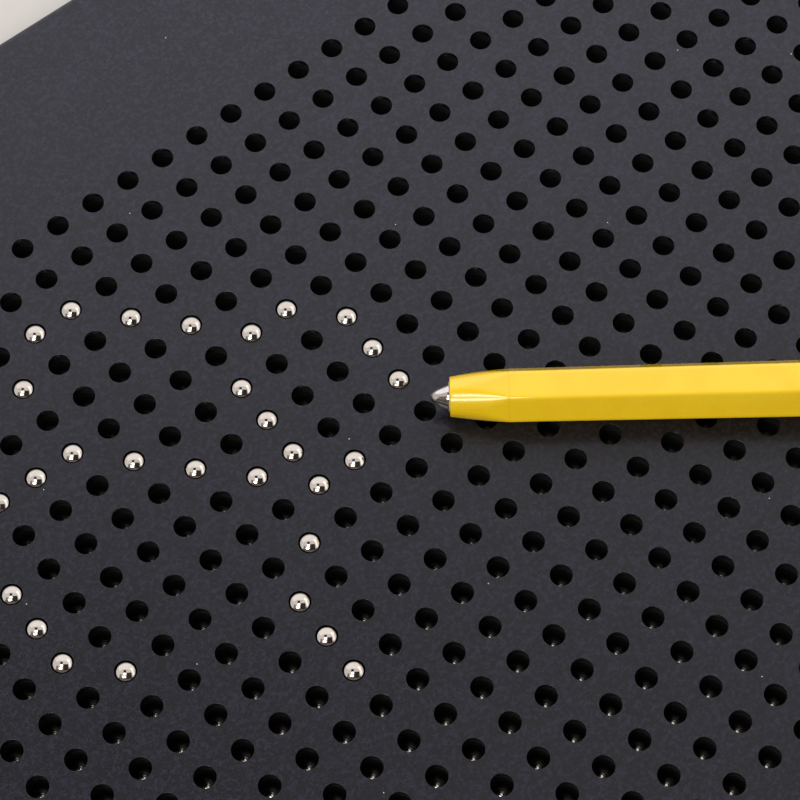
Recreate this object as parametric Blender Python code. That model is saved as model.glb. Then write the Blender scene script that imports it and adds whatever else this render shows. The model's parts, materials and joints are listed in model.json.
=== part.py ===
"""Magnetic ball drawing board with its stylus, in metres, +Z up.

A flat two-part case holds a grid of captive steel balls. A magnet in the stylus tip pulls a ball up
through a soft retaining sheet into a conical seat, where it stands a little proud of the face, and a
finger pushes it back down. The stylus lies on the face.

Origin: centre of the base, on the plane of the feet. +X runs along the rows, +Y towards the top edge.
"""

import math

import bmesh
import bpy
from mathutils import Matrix, Vector

# case
BOARD_X, BOARD_Y = 0.318, 0.260
BOARD_CORNER = 0.014
FOOT_HEIGHT = 0.0013
BOARD_THICK = 0.0122
FACE_Z = FOOT_HEIGHT + BOARD_THICK
FACE_THICK = 0.0026
WALL = 0.0022
SEAM_Z, SEAM_GAP = 0.0052, 0.0003
FLOOR_THICK = 0.0016
FLOOR_Z = FOOT_HEIGHT + FLOOR_THICK
LIP_GAP, LIP_THICK, LIP_TOP = 0.0003, 0.0015, 0.0067
FACE_EDGE, BACK_EDGE = 0.0012, 0.0010

# ball field
PITCH = 0.008
COLUMNS, ROWS = 34, 21
FIELD_Y = 0.010
BALL_R = 0.0025
MOUTH_R = 0.00205
SEAT_DROP = 0.00075
BORE_R = MOUTH_R + SEAT_DROP
INNER_BORE_R = 0.0029
BALL_UP_DEPTH = 0.00177
BALL_TRAVEL = 0.0060
SHEET_TOP, SHEET_THICK = 0.0106, 0.0010
GUIDE_BASE, GUIDE_TOP = 0.0033, 0.0093
GUIDE_X, GUIDE_Y, GUIDE_CORNER = 0.284, 0.180, 0.004

# balls that stand up, as (row, column) counted from the top left hole
RAISED = {
    3: (10, 11),
    4: (9, 12),
    5: (13,),
    6: (7, 8, 9, 14, 15),
    7: (10, 13, 16),
    8: (6, 11, 13, 16),
    9: (6, 12, 13, 16),
    10: (6, 13, 14),
    11: (7, 12),
    12: (11,),
    13: (11,),
    14: (11,),
}
# balls at the foot of their bores that are modelled one by one
DROPPED = {7: (14, 15), 8: (14, 15), 9: (14, 15), 10: (15,), 11: (14,)}

# storage groove for the stylus
GROOVE_Y = -0.102
GROOVE_LENGTH, GROOVE_WIDTH, GROOVE_DEPTH = 0.1225, 0.0136, 0.0065
SCOOP_LENGTH, SCOOP_WIDTH = 0.028, 0.026
GROOVE_CORNER = 0.003
GROOVE_WALL = 0.0016

# fasteners and feet
SCREWS = ((-0.148, 0.119), (0.0, 0.121), (0.148, 0.119), (-0.148, -0.119), (0.0, -0.121), (0.148, -0.119))
SCREW_HEAD_R, SCREW_R = 0.0027, 0.00115
SCREW_HEAD_Z, SCREW_HEAD_TOP, SCREW_TOP = 0.0017, 0.00285, 0.0092
SCREW_POINT, SCREW_POINT_R = 0.0008, 0.00046
HEAD_GAP = 0.00015
PILOT_R, PILOT_TOP = 0.0014, 0.0096
POST_R, POST_BASE = 0.0032, 0.0044
BOSS_R, BOSS_TOP = 0.0042, 0.0041
SCREW_CLEAR = 0.0003
FEET = ((-0.140, 0.110), (0.140, 0.110), (-0.140, -0.110), (0.140, -0.110))
FOOT_R, FOOT_EDGE = 0.0060, 0.0004
FOOT_GAP = 0.00015

# stylus, measured from the point of its tip along its axis; a flat is the distance from the axis to a side
TIP_XY = (-0.01056, 0.01771)
STYLUS_TURN = math.radians(-35.74)
STYLUS_GAP = 0.00015
FRONT_S, SEAM_S, TAPER_END_S, BARREL_END_S = 0.0031, 0.0137, 0.0750, 0.1140
STYLUS_LENGTH = 0.1180
FRONT_FLAT, SEAM_FLAT, WIDE_FLAT = 0.00363, 0.00463, 0.004955
HEX_CORNER = 0.0008
ROUNDEST = 0.93
JOIN_GAP = 0.00015
BARREL_BORE, SPIGOT_R = 0.00375, 0.0036
SPIGOT_END_S, PLUG_START_S = 0.0260, 0.1060
PLUG_DOME = 0.0023
NOSE_BORE_R, NOSE_BORE_END_S = 0.0029, 0.0048
NECK_R, NECK_END_S = 0.0026, 0.0062
CAVITY_R = 0.0031
TIP_REACH, TIP_SHANK_R, TIP_POINT_R = 0.0027, 0.0023, 0.00035
FLANGE_R, FLANGE_START_S, FLANGE_END_S = 0.0028, 0.0064, 0.0082
COLLAR_IN_R, COLLAR_OUT_R, COLLAR_START_S, COLLAR_END_S = 0.00246, 0.00274, 0.0027, 0.0046
MAGNET_R, MAGNET_START_S, MAGNET_END_S = 0.0028, 0.0085, 0.0245
NOSE_STEPS, TIP_STEPS, DOME_STEPS = 5, 4, 3

OVERLAP = 0.0005  # how far a shape reaches into the one that it is joined to
OVERCUT = 0.001  # how far a cutter reaches past the surface that it cuts
ROUND_SIDES = 12


def material(name, colour, roughness, metallic=0.0):
    made = bpy.data.materials.new(name)
    made.use_nodes = True
    shader = made.node_tree.nodes["Principled BSDF"]
    shader.inputs["Base Color"].default_value = (*colour, 1.0)
    shader.inputs["Roughness"].default_value = roughness
    shader.inputs["Metallic"].default_value = metallic
    return made


def add_object(name, bm, finish=None):
    """Turns a bmesh into an object with outward normals, smooth over its round parts."""
    bmesh.ops.recalc_face_normals(bm, faces=bm.faces)
    mesh = bpy.data.meshes.new(name)
    bm.to_mesh(mesh)
    bm.free()
    mesh.shade_smooth()
    mesh.set_sharp_from_angle(angle=math.radians(35))
    made = bpy.data.objects.new(name, mesh)
    bpy.context.scene.collection.objects.link(made)
    if finish:
        mesh.materials.append(finish)
    return made


def loft(loops, ring=False):
    """Joins loops of equal length into one skin, capped at both ends, or joined end to end as a ring."""
    bm = bmesh.new()
    rows = [[bm.verts.new(point) for point in loop] for loop in loops]
    pairs = list(zip(rows, rows[1:]))
    if ring:
        pairs.append((rows[-1], rows[0]))
    for low, high in pairs:
        for k in range(len(low)):
            after = (k + 1) % len(low)
            bm.faces.new((low[k], low[after], high[after], high[k]))
    if not ring:
        bm.faces.new(rows[0])
        bm.faces.new(rows[-1])
    return bm


def rounded_loop(length, width, corner, z, centre=(0.0, 0.0), steps=4):
    """A rectangle with round corners, lying level at height z."""
    points = []
    for quarter, (sx, sy) in enumerate(((1, 1), (-1, 1), (-1, -1), (1, -1))):
        cx = centre[0] + sx * (length / 2 - corner)
        cy = centre[1] + sy * (width / 2 - corner)
        for step in range(steps + 1):
            angle = math.pi / 2 * (quarter + step / steps)
            points.append(Vector((cx + corner * math.cos(angle), cy + corner * math.sin(angle), z)))
    return points


def board_loop(inset, z):
    return rounded_loop(BOARD_X - 2 * inset, BOARD_Y - 2 * inset, BOARD_CORNER - inset, z)


def circle_loop(centre, radius, z, sides=ROUND_SIDES):
    turns = [2 * math.pi * k / sides for k in range(sides)]
    return [Vector((centre[0] + radius * math.cos(a), centre[1] + radius * math.sin(a), z)) for a in turns]


def turned(centre, profile, sides=ROUND_SIDES):
    """An upright round solid from (radius, height) pairs, bottom to top."""
    return loft([circle_loop(centre, radius, z, sides) for radius, z in profile])


def boolean(target, tools, operation):
    """Joins or cuts target with the shapes in tools, given as bmeshes."""
    for number, bm in enumerate(tools):
        tool = add_object(f"{target.name}_{operation.lower()}_{len(target.modifiers)}_{number}", bm)
        tool.hide_render = True
        tool.display_type = "WIRE"
        modifier = target.modifiers.new(tool.name, "BOOLEAN")
        modifier.operation = operation
        modifier.solver = "EXACT"
        modifier.object = tool


def together(parts):
    """Several separate closed shapes as one bmesh, for use as a single cutter."""
    whole = bmesh.new()
    for bm in parts:
        mesh = bpy.data.meshes.new("cutter_part")
        bmesh.ops.recalc_face_normals(bm, faces=bm.faces)
        bm.to_mesh(mesh)
        bm.free()
        whole.from_mesh(mesh)
        bpy.data.meshes.remove(mesh)
    return whole


def hole_centre(row, column):
    """Rows count down from the top edge and columns from the left, both from 1."""
    x = (column - (COLUMNS + 1) / 2) * PITCH
    y = FIELD_Y + ((ROWS + 1) / 2 - row) * PITCH
    return x, y


def places(table):
    return [(row, column) for row, columns in table.items() for column in columns]


def ball_holes(profile, sides):
    """One cutter for every modelled ball: profile gives (radius, height) pairs."""
    found = places(RAISED) + places(DROPPED)
    return together([turned(hole_centre(*place), profile, sides) for place in found])


def groove_block(inset, z_low, z_high):
    """The stylus groove with its finger scoop, grown by inset, between two heights."""
    shapes = []
    corner = GROOVE_CORNER + inset
    for length, width in ((GROOVE_LENGTH, GROOVE_WIDTH), (SCOOP_LENGTH, SCOOP_WIDTH)):
        loops = [
            rounded_loop(length + 2 * inset, width + 2 * inset, corner, z, (0.0, GROOVE_Y))
            for z in (z_low, z_high)
        ]
        shapes.append(loft(loops))
    return shapes


def make_front_cover(finish):
    """The face with its skirt, the pocket for the stylus and the screw posts, moulded in one."""
    ceiling = FACE_Z - FACE_THICK
    halfway = FACE_EDGE * (1 - math.cos(math.radians(45)))
    loops = [
        board_loop(WALL, ceiling),
        board_loop(WALL, SEAM_Z),
        board_loop(0.0, SEAM_Z),
        board_loop(0.0, FACE_Z - FACE_EDGE),
        board_loop(halfway, FACE_Z - halfway),
        board_loop(FACE_EDGE, FACE_Z),
    ]
    cover = add_object("front_cover", loft(loops), finish)
    groove_floor = FACE_Z - GROOVE_DEPTH
    posts = [turned(place, ((POST_R, POST_BASE), (POST_R, ceiling + OVERLAP))) for place in SCREWS]
    boolean(cover, groove_block(GROOVE_WALL, groove_floor - GROOVE_WALL, ceiling + OVERLAP), "UNION")
    boolean(cover, [together(posts)], "UNION")
    boolean(cover, groove_block(0.0, groove_floor, FACE_Z + OVERCUT), "DIFFERENCE")
    pilots = [turned(place, ((PILOT_R, POST_BASE - OVERCUT), (PILOT_R, PILOT_TOP)), 8) for place in SCREWS]
    boolean(cover, [together(pilots)], "DIFFERENCE")
    profile = (
        (BORE_R, ceiling - OVERCUT),
        (BORE_R, FACE_Z - SEAT_DROP),
        (MOUTH_R, FACE_Z),
        (MOUTH_R, FACE_Z + OVERCUT),
    )
    boolean(cover, [ball_holes(profile, ROUND_SIDES)], "DIFFERENCE")


def make_back_cover(finish):
    """A shallow tray with an inner lip that centres the front cover, and bosses round the screws."""
    lip_outside = WALL + LIP_GAP
    wall_top = SEAM_Z - SEAM_GAP
    loops = [
        board_loop(BACK_EDGE, FOOT_HEIGHT),
        board_loop(0.0, FOOT_HEIGHT + BACK_EDGE),
        board_loop(0.0, wall_top),
        board_loop(lip_outside, wall_top),
        board_loop(lip_outside, LIP_TOP),
        board_loop(lip_outside + LIP_THICK, LIP_TOP),
        board_loop(lip_outside + LIP_THICK, FLOOR_Z),
    ]
    cover = add_object("back_cover", loft(loops), finish)
    bosses = [turned(place, ((BOSS_R, FLOOR_Z - OVERLAP), (BOSS_R, BOSS_TOP))) for place in SCREWS]
    boolean(cover, [together(bosses)], "UNION")
    head, shank = SCREW_HEAD_R + SCREW_CLEAR, SCREW_R + SCREW_CLEAR
    profile = (
        (head, FOOT_HEIGHT - OVERCUT),
        (head, SCREW_HEAD_TOP + HEAD_GAP),
        (shank, SCREW_HEAD_TOP + HEAD_GAP),
        (shank, BOSS_TOP + OVERCUT),
    )
    boolean(cover, [together([turned(place, profile, 10) for place in SCREWS])], "DIFFERENCE")


def make_perforated(name, base, top, finish):
    """A plate inside the case with one round bore for each modelled ball."""
    loops = [rounded_loop(GUIDE_X, GUIDE_Y, GUIDE_CORNER, z, (0.0, FIELD_Y), steps=2) for z in (base, top)]
    plate = add_object(name, loft(loops), finish)
    profile = ((INNER_BORE_R, base - OVERCUT), (INNER_BORE_R, top + OVERCUT))
    boolean(plate, [ball_holes(profile, 8)], "DIFFERENCE")


def make_screw(number, place, finish):
    profile = (
        (SCREW_HEAD_R, SCREW_HEAD_Z),
        (SCREW_HEAD_R, SCREW_HEAD_TOP),
        (SCREW_R, SCREW_HEAD_TOP),
        (SCREW_R, SCREW_TOP - SCREW_POINT),
        (SCREW_POINT_R, SCREW_TOP),
    )
    add_object(f"case_screw_{number}", turned(place, profile, 8), finish)


def make_foot(number, place, finish):
    profile = ((FOOT_R - FOOT_EDGE, 0.0), (FOOT_R, FOOT_EDGE), (FOOT_R, FOOT_HEIGHT - FOOT_GAP))
    add_object(f"rubber_foot_{number}", turned(place, profile), finish)


def make_balls(finish):
    """Every modelled ball, raised or at the foot of its bore. The ball's origin is on its bore's axis."""
    bm = bmesh.new()
    bmesh.ops.create_uvsphere(bm, u_segments=8, v_segments=6, radius=BALL_R)
    shape = bpy.data.meshes.new("steel_ball")
    bm.to_mesh(shape)
    bm.free()
    shape.shade_smooth()
    shape.materials.append(finish)
    for table, drop in ((RAISED, 0.0), (DROPPED, BALL_TRAVEL)):
        for row, column in places(table):
            ball = bpy.data.objects.new(f"ball_r{row:02d}_c{column:02d}", shape)
            x, y = hole_centre(row, column)
            ball.location = (x, y, FACE_Z - BALL_UP_DEPTH - drop)
            bpy.context.scene.collection.objects.link(ball)


def section(s, flat, corner):
    """A hexagon across the stylus at s, flats up and down, its corners rounded until it is round."""
    reach = (flat - corner) / math.cos(math.radians(30))
    points = []
    for side in range(6):
        middle = math.radians(60 * side)
        for step in (-30, 0, 30):
            angle = middle + math.radians(step)
            y = reach * math.cos(middle) + corner * math.cos(angle)
            z = reach * math.sin(middle) + corner * math.sin(angle)
            points.append(Vector((s, y, z)))
    return points


def round_section(s, radius):
    return section(s, radius, ROUNDEST * radius)


def nose_outside():
    """Sections from the round front of the nose to the hexagon at the seam, each step less steep."""
    sections = []
    for k in range(NOSE_STEPS + 1):
        t = k / NOSE_STEPS
        flat = SEAM_FLAT - (SEAM_FLAT - FRONT_FLAT) * (1 - t) ** 1.5
        roundness = 1 - t * t * (3 - 2 * t)
        corner = HEX_CORNER + (ROUNDEST * flat - HEX_CORNER) * roundness
        sections.append(section(FRONT_S + (SEAM_S - FRONT_S) * t, flat, corner))
    return sections


def plug_dome():
    """Sections over the rounded end of the end plug."""
    sections = []
    for k in range(1, DOME_STEPS + 1):
        turn = math.radians(80) * k / DOME_STEPS
        flat = WIDE_FLAT - PLUG_DOME * (1 - math.cos(turn))
        s = STYLUS_LENGTH - PLUG_DOME * (1 - math.sin(turn) / math.sin(math.radians(80)))
        sections.append(section(s, flat, HEX_CORNER))
    return sections


def make_stylus(yellow, steel, ring, magnetic):
    """The stylus along +X from the point of its tip, all its pieces parented to one empty that places it."""
    nose = [
        round_section(FRONT_S, NOSE_BORE_R),
        *nose_outside(),
        round_section(SEAM_S, SPIGOT_R),
        round_section(SPIGOT_END_S, SPIGOT_R),
        round_section(SPIGOT_END_S, CAVITY_R),
        round_section(NECK_END_S, CAVITY_R),
        round_section(NECK_END_S, NECK_R),
        round_section(NOSE_BORE_END_S, NECK_R),
        round_section(NOSE_BORE_END_S, NOSE_BORE_R),
    ]
    steps = [k / TIP_STEPS for k in range(1, TIP_STEPS + 1)]
    tip = [
        round_section(0.0, TIP_POINT_R),
        *(round_section(TIP_REACH * t * t, TIP_SHANK_R * t) for t in steps),
        round_section(FLANGE_START_S, TIP_SHANK_R),
        round_section(FLANGE_START_S, FLANGE_R),
        round_section(FLANGE_END_S, FLANGE_R),
    ]
    collar = [
        round_section(COLLAR_START_S, COLLAR_IN_R),
        round_section(COLLAR_START_S, COLLAR_OUT_R),
        round_section(COLLAR_END_S, COLLAR_OUT_R),
        round_section(COLLAR_END_S, COLLAR_IN_R),
    ]
    magnet = [round_section(MAGNET_START_S, MAGNET_R), round_section(MAGNET_END_S, MAGNET_R)]
    barrel = [
        round_section(SEAM_S + JOIN_GAP, BARREL_BORE),
        section(SEAM_S + JOIN_GAP, SEAM_FLAT, HEX_CORNER),
        section(TAPER_END_S, WIDE_FLAT, HEX_CORNER),
        section(BARREL_END_S, WIDE_FLAT, HEX_CORNER),
        round_section(BARREL_END_S, BARREL_BORE),
    ]
    plug = [
        round_section(PLUG_START_S, SPIGOT_R),
        round_section(BARREL_END_S + JOIN_GAP, SPIGOT_R),
        section(BARREL_END_S + JOIN_GAP, WIDE_FLAT, HEX_CORNER),
        section(STYLUS_LENGTH - PLUG_DOME, WIDE_FLAT, HEX_CORNER),
        *plug_dome(),
    ]
    pieces = [
        add_object("stylus_nose", loft(nose, ring=True), yellow),
        add_object("stylus_tip", loft(tip), steel),
        add_object("tip_collar", loft(collar, ring=True), ring),
        add_object("bar_magnet", loft(magnet), magnetic),
        add_object("stylus_barrel", loft(barrel, ring=True), yellow),
        add_object("stylus_end_plug", loft(plug), yellow),
    ]
    slope = math.atan2(WIDE_FLAT - SEAM_FLAT, TAPER_END_S - SEAM_S)
    height = STYLUS_GAP + SEAM_FLAT * math.cos(slope) - SEAM_S * math.sin(slope)
    placer = bpy.data.objects.new("stylus_placer", None)
    bpy.context.scene.collection.objects.link(placer)
    turn = Matrix.Rotation(STYLUS_TURN, 4, "Z") @ Matrix.Rotation(-slope, 4, "Y")
    placer.matrix_world = Matrix.Translation((*TIP_XY, FACE_Z + height)) @ turn
    for piece in pieces:
        piece.parent = placer


def main():
    for old in list(bpy.data.objects):
        bpy.data.objects.remove(old, do_unlink=True)

    charcoal = material("charcoal_abs", (0.055, 0.053, 0.065), 0.55)
    soft_sheet = material("retaining_rubber", (0.03, 0.03, 0.03), 0.8)
    inner_abs = material("inner_abs", (0.02, 0.02, 0.02), 0.7)
    polished = material("polished_steel", (0.75, 0.72, 0.68), 0.08, 1.0)
    zinc = material("zinc_plated_steel", (0.55, 0.56, 0.58), 0.35, 1.0)
    foot_rubber = material("foot_rubber", (0.02, 0.02, 0.022), 0.85)
    yellow = material("yellow_abs", (0.93, 0.66, 0.03), 0.25)
    ring = material("collar_resin", (0.85, 0.80, 0.45), 0.2)
    magnetic = material("nickel_magnet", (0.45, 0.44, 0.42), 0.3, 1.0)

    make_front_cover(charcoal)
    make_back_cover(charcoal)
    make_perforated("retaining_sheet", SHEET_TOP - SHEET_THICK, SHEET_TOP, soft_sheet)
    make_perforated("ball_guide", GUIDE_BASE, GUIDE_TOP, inner_abs)
    for number, place in enumerate(SCREWS, 1):
        make_screw(number, place, zinc)
    for number, place in enumerate(FEET, 1):
        make_foot(number, place, foot_rubber)
    make_balls(polished)
    make_stylus(yellow, polished, ring, magnetic)


main()
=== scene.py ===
# Magnetic ball drawing board with its stylus: looks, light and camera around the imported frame.
import json
import math

import bmesh
import bpy
from mathutils import Matrix, Vector

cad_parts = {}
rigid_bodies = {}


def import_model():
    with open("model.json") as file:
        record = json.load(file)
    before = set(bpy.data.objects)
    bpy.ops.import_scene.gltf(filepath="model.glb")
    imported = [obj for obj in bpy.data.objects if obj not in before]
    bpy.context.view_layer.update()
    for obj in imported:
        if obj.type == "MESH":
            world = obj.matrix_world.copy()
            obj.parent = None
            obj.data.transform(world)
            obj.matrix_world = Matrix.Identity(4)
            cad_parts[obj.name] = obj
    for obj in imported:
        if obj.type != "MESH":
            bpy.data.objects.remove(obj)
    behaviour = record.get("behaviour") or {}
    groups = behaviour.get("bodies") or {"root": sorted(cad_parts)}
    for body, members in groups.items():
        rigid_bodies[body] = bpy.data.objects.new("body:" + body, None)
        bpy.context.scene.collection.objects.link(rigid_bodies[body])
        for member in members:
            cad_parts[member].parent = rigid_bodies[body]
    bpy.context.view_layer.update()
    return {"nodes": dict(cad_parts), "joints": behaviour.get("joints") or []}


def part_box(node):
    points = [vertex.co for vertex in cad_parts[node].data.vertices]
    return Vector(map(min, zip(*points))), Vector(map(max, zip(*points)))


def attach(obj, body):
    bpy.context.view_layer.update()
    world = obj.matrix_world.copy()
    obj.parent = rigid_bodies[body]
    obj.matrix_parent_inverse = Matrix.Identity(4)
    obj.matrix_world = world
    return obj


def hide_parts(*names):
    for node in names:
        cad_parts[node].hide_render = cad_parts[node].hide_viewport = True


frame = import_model()
print("frame loaded")

mm = 0.001
boardBody = "board"
stylusBody = "stylus"


def srgb(code):
    channels = [int(code[i:i + 2], 16) / 255 for i in (1, 3, 5)]
    linear = [c / 12.92 if c <= 0.04045 else ((c + 0.055) / 1.055) ** 2.4 for c in channels]
    return (*linear, 1.0)


def addNode(tree, kind, settings=None, links=None):
    node = tree.nodes.new(kind)
    for key, value in (settings or {}).items():
        if isinstance(key, str) and hasattr(node, key):
            setattr(node, key, value)
        else:
            node.inputs[key].default_value = value
    for key, source in (links or {}).items():
        tree.links.new(source, node.inputs[key])
    return node


def newMaterial(name):
    # an empty node tree with the object's own coordinates, in metres
    made = bpy.data.materials.new(name)
    made.use_nodes = True
    tree = made.node_tree
    tree.nodes.clear()
    place = addNode(tree, "ShaderNodeTexCoord").outputs["Object"]
    return made, tree, place


def closeMaterial(tree, settings, links):
    shader = addNode(tree, "ShaderNodeBsdfPrincipled", settings, links)
    addNode(tree, "ShaderNodeOutputMaterial", links={"Surface": shader.outputs["BSDF"]})


def shadeEdges(bm, angle, flatHeights=()):
    # smooth all over, but sharp at real corners and round every flat that lies level at a listed height
    limit = math.radians(angle)
    for face in bm.faces:
        face.smooth = True
    for edge in bm.edges:
        if len(edge.link_faces) != 2:
            continue
        sharp = edge.calc_face_angle(0.0) > limit
        height = edge.verts[0].co.z
        if any(abs(height - flat) < 1e-6 for flat in flatHeights):
            level = [abs(face.normal.z) > 0.9999 for face in edge.link_faces]
            sharp = sharp or level[0] != level[1]
        edge.smooth = not sharp


def finishPiece(name, bm, surface, body, nodes=(), angle=30, flatHeights=()):
    bmesh.ops.remove_doubles(bm, verts=bm.verts, dist=1e-7)
    bmesh.ops.recalc_face_normals(bm, faces=bm.faces)
    shadeEdges(bm, angle, flatHeights)
    mesh = bpy.data.meshes.new(name)
    bm.to_mesh(mesh)
    bm.free()
    mesh.materials.append(surface)
    piece = bpy.data.objects.new(name, mesh)
    bpy.context.scene.collection.objects.link(piece)
    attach(piece, body)
    if nodes:
        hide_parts(*nodes)
    return piece


def middle(node):
    low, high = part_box(node)
    return (low + high) / 2


def liftFace(bm, face, height):
    # pulls a face up by height on new walls and gives back the face at the far end; a face
    # that stands alone stays as the near end, and one with neighbours makes way for the walls
    made = bmesh.ops.extrude_face_region(bm, geom=[face, *face.edges])["geom"]
    lifted = [g for g in made if isinstance(g, bmesh.types.BMFace)][0]
    bmesh.ops.translate(bm, verts=lifted.verts, vec=(0, 0, height))
    return lifted


def insetFace(bm, face, inward, height=0.0):
    bmesh.ops.inset_region(bm, faces=[face], thickness=inward, depth=0.0, use_even_offset=True,
                           use_boundary=True)
    bmesh.ops.translate(bm, verts=face.verts, vec=(0, 0, height))


def rollRim(bm, face, radius, height, steps=5, startsUpright=True):
    # rolls the rim of a face through a quarter turn; height is radius upwards or -radius downwards
    turns = [math.pi / 2 * k / steps for k in range(steps + 1)]
    for a, b in zip(turns, turns[1:]):
        if startsUpright:
            inward, rise = math.cos(a) - math.cos(b), math.sin(b) - math.sin(a)
        else:
            inward, rise = math.sin(b) - math.sin(a), math.cos(a) - math.cos(b)
        insetFace(bm, face, radius * inward, height * rise)


def roundedSheet(bm, sizeX, sizeY, corner, centre, height, segments=10):
    # a level rectangle with round corners
    before = set(bm.faces)
    place = Matrix.Translation((centre[0], centre[1], height)) @ Matrix.Diagonal((sizeX, sizeY, 1, 1))
    made = bmesh.ops.create_grid(bm, x_segments=1, y_segments=1, size=0.5, matrix=place)
    bmesh.ops.bevel(bm, geom=made["verts"], offset=corner, segments=segments, profile=0.5,
                    affect="VERTICES", material=-1)
    return [face for face in bm.faces if face not in before][0]


def disc(bm, centre, radius, height, sides=32):
    before = set(bm.faces)
    bmesh.ops.create_circle(bm, cap_ends=True, segments=sides, radius=radius,
                            matrix=Matrix.Translation((centre[0], centre[1], height)))
    return [face for face in bm.faces if face not in before][0]


def openFaces(bm, faces):
    bmesh.ops.delete(bm, geom=faces, context="FACES_ONLY")


def fillLevel(bm, height):
    # closes every open loop at one height into a single flat with its holes left out
    rims = [e for e in bm.edges if len(e.link_faces) == 1
            and all(abs(v.co.z - height) < 1e-6 for v in e.verts)]
    bmesh.ops.triangle_fill(bm, use_beauty=True, use_dissolve=False, edges=rims, normal=(0, 0, 1))


def repeatOverGrid(bm, grid):
    # what stands at the origin is copied to every place of the grid
    for step, count in (((grid["pitch"], 0, 0), grid["columns"]), ((0, -grid["pitch"], 0), grid["rows"])):
        geom = bm.verts[:] + bm.edges[:] + bm.faces[:]
        for k in range(1, count):
            copy = bmesh.ops.duplicate(bm, geom=geom)["geom"]
            verts = [g for g in copy if isinstance(g, bmesh.types.BMVert)]
            bmesh.ops.translate(bm, verts=verts, vec=Vector(step) * k)
    bmesh.ops.translate(bm, verts=bm.verts, vec=(grid["left"], grid["top"], 0))


def perforatedField(profile, sides, grid):
    # one square of plate round one hole, copied over the whole grid; profile is the hole's
    # (radius, height) pairs from the top face to the bottom one
    bm = bmesh.new()
    radius, height = profile[0]
    ring = bmesh.ops.create_circle(bm, segments=sides, radius=radius,
                                   matrix=Matrix.Translation((0, 0, height)))
    edges = list({e for v in ring["verts"] for e in v.link_edges})
    rims = [(height, edges)]
    for nextRadius, nextHeight in profile[1:]:
        made = bmesh.ops.extrude_edge_only(bm, edges=edges)["geom"]
        verts = {g for g in made if isinstance(g, bmesh.types.BMVert)}
        edges = [g for g in made if isinstance(g, bmesh.types.BMEdge) and verts.issuperset(g.verts)]
        bmesh.ops.scale(bm, verts=list(verts), vec=(nextRadius / radius, nextRadius / radius, 1))
        bmesh.ops.translate(bm, verts=list(verts), vec=(0, 0, nextHeight - height))
        radius, height = nextRadius, nextHeight
    rims.append((height, edges))
    for level, rim in rims:
        turn = Matrix.Translation((0, 0, level)) @ Matrix.Rotation(math.pi / 4, 4, "Z")
        square = bmesh.ops.create_circle(bm, segments=4, radius=grid["pitch"] / math.sqrt(2), matrix=turn)
        outside = list({e for v in square["verts"] for e in v.link_edges})
        bmesh.ops.triangle_fill(bm, use_beauty=True, use_dissolve=False, edges=rim + outside,
                                normal=(0, 0, 1))
    repeatOverGrid(bm, grid)
    bmesh.ops.remove_doubles(bm, verts=bm.verts, dist=2e-6)
    return bm


# where things are, read from the frame
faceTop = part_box("front_cover")[1].z
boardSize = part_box("front_cover")[1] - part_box("front_cover")[0]
screwNodes = sorted(name for name in frame["nodes"] if name.startswith("case_screw_"))
footNodes = sorted(name for name in frame["nodes"] if name.startswith("rubber_foot_"))
ballNodes = sorted(name for name in frame["nodes"] if name.startswith("ball_r"))


def gridPlace(node):
    # ball_r07_c14 stands in row 7 and column 14
    return int(node[6:8]), int(node[10:12])


def findGrid():
    # the spacing comes from the two modelled balls that are furthest apart down the board
    first, last = ballNodes[0], ballNodes[-1]
    rowsApart = gridPlace(last)[0] - gridPlace(first)[0]
    pitch = (middle(first).y - middle(last).y) / rowsApart
    row, column = gridPlace(first)
    return {"pitch": pitch, "columns": 34, "rows": 21,
            "left": middle(first).x - (column - 1) * pitch, "top": middle(first).y + (row - 1) * pitch}


grid = findGrid()


def nearestPlace(point):
    row = 1 + round((grid["top"] - point.y) / grid["pitch"])
    return row, 1 + round((point.x - grid["left"]) / grid["pitch"])


ballRadius = (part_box(ballNodes[0])[1].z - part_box(ballNodes[0])[0].z) / 2
travels = {joint["child"]: joint["range_m"] for joint in frame["joints"] if joint["child"] in ballNodes}
raisedBalls = [name for name in ballNodes if travels[name][0] < 0]
downBalls = [name for name in ballNodes if travels[name][0] == 0]


# the speckle colour is partly painted sheen: lighter specks on the grain's high points, on top of the
# plate's own grain
charcoalLook = {
    "colour": "#08080E", "lighter": "#0B0B13", "peakSheenSpeckle": "#1F1F2C", "dust": "#D8D4CC",
    "roughness": 0.33, "unevenness": 0.06, "grain": 0.30 * mm, "grainDepth": 0.0045 * mm, "mottle": 14 * mm,
    "dustSpacing": 45 * mm, "dustSize": 0.11 * mm,
}


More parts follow.
